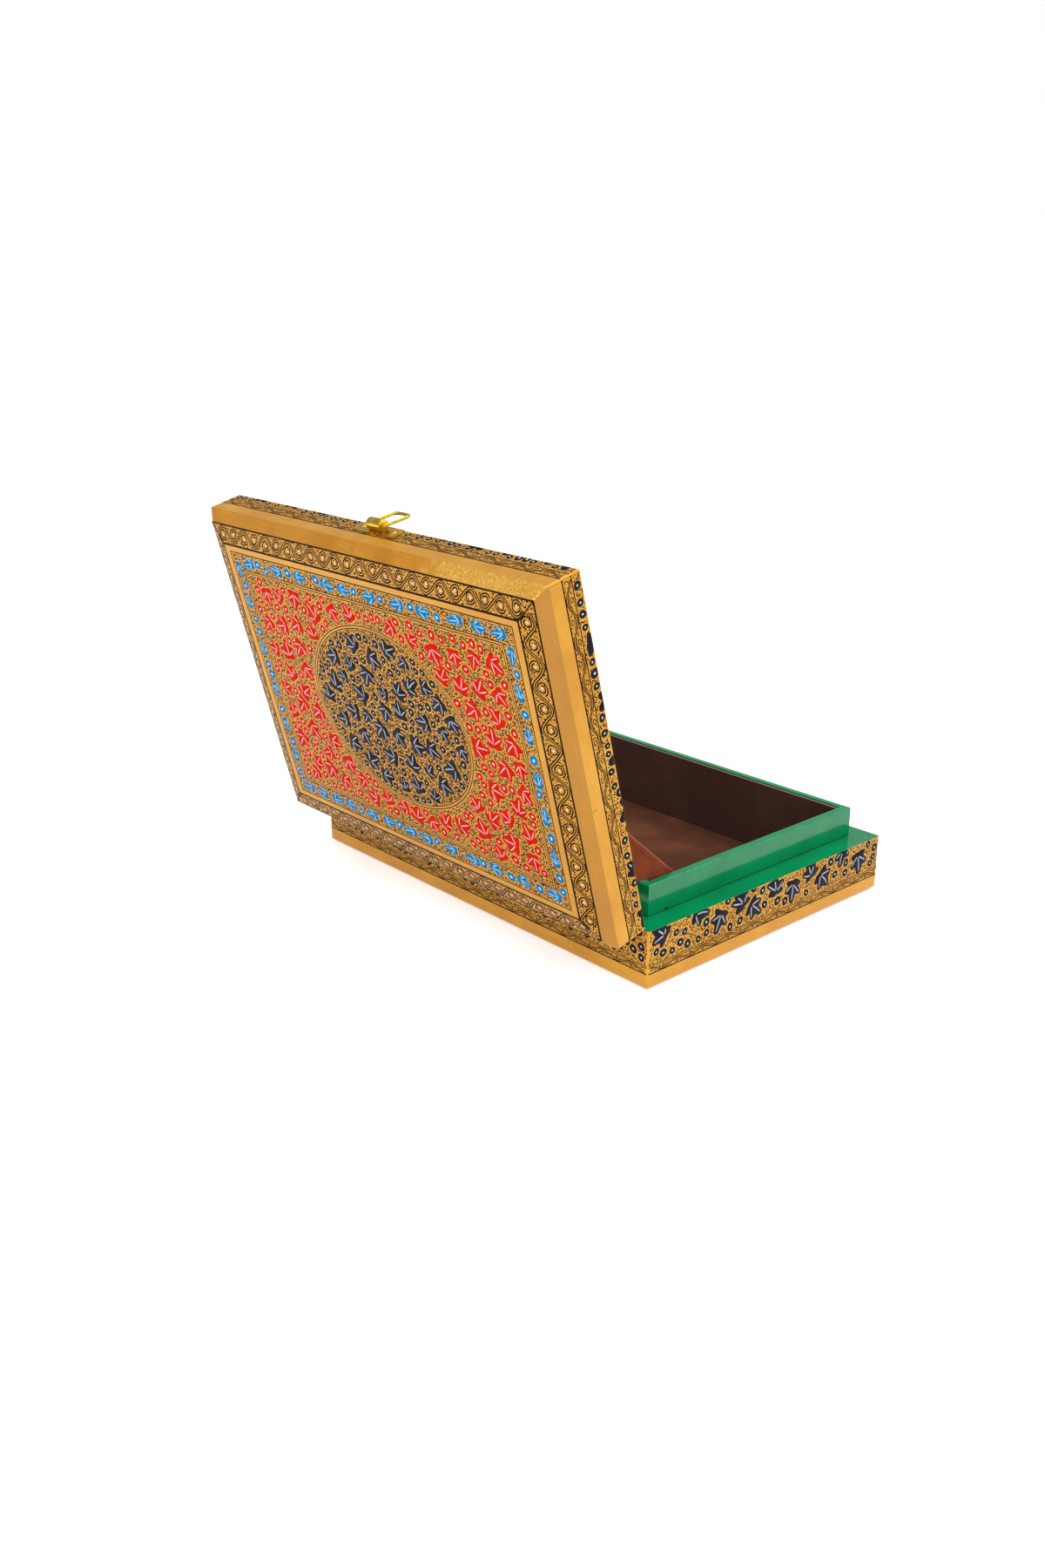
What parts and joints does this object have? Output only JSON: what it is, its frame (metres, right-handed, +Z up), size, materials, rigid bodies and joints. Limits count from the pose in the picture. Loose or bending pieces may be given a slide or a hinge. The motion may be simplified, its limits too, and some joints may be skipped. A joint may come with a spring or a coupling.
{
  "type": "kashmiri papier mache box",
  "caption": "Flat hinged papier mache box with gold leaf-and-scroll lacquer work, green inner lip, velvet lining, cloth lid stays and a brass loop hasp.",
  "frame": {"origin": "centre of the base's flat underside, on the surface it stands on", "axes": "+Z up, -Y towards the hasp side, +X along the hinge side to the right as seen from the hasp side"},
  "size_m": [0.216, 0.2138, 0.1798],
  "materials": {
    "gold_lacquer": "lacquered papier mache, hand painted with leaves and scrolls over gold",
    "green_lacquer": "glossy green enamel",
    "wall_velvet": "dark brown velvet",
    "floor_velvet": "brown velvet",
    "brass": "bright pressed brass",
    "nail_steel": "brass nails",
    "stay_cloth": "rust brown cloth"
  },
  "bodies": {
    "base": {"base_bottom": "gold_lacquer", "base_walls": "gold_lacquer", "lip_frame": "green_lacquer", "front_lining": "wall_velvet", "back_lining": "wall_velvet", "left_lining": "wall_velvet", "right_lining": "wall_velvet", "floor_lining": "floor_velvet", "left_hinge_base_leaf": "brass", "left_hinge_pin": "brass", "right_hinge_base_leaf": "brass", "right_hinge_pin": "brass", "base_hinge_nails": "nail_steel", "catch_plate": "brass", "catch_nails": "nail_steel", "left_stay": "stay_cloth", "right_stay": "stay_cloth"},
    "lid": {"lid_frame": "gold_lacquer", "lid_top": "gold_lacquer", "lid_lining": "wall_velvet", "left_hinge_lid_leaf": "brass", "right_hinge_lid_leaf": "brass", "lid_hinge_nails": "nail_steel", "hasp_plate": "brass", "hasp_nails": "nail_steel"},
    "hasp": {"hasp_loop": "brass"}
  },
  "joints": [
    {"name": "lid_hinge", "type": "hinge", "parent": "base", "child": "lid", "pos_m": [0, 0.07785, 0.026], "axis": [1, 0, 0], "range_deg": [0, 104.7], "deforming": ["left_stay", "right_stay"]},
    {"name": "hasp_swing", "type": "hinge", "parent": "lid", "child": "hasp", "pos_m": [0, 0.12161, 0.17663], "axis": [-1, 0, 0], "range_deg": [0, 170]}
  ]
}
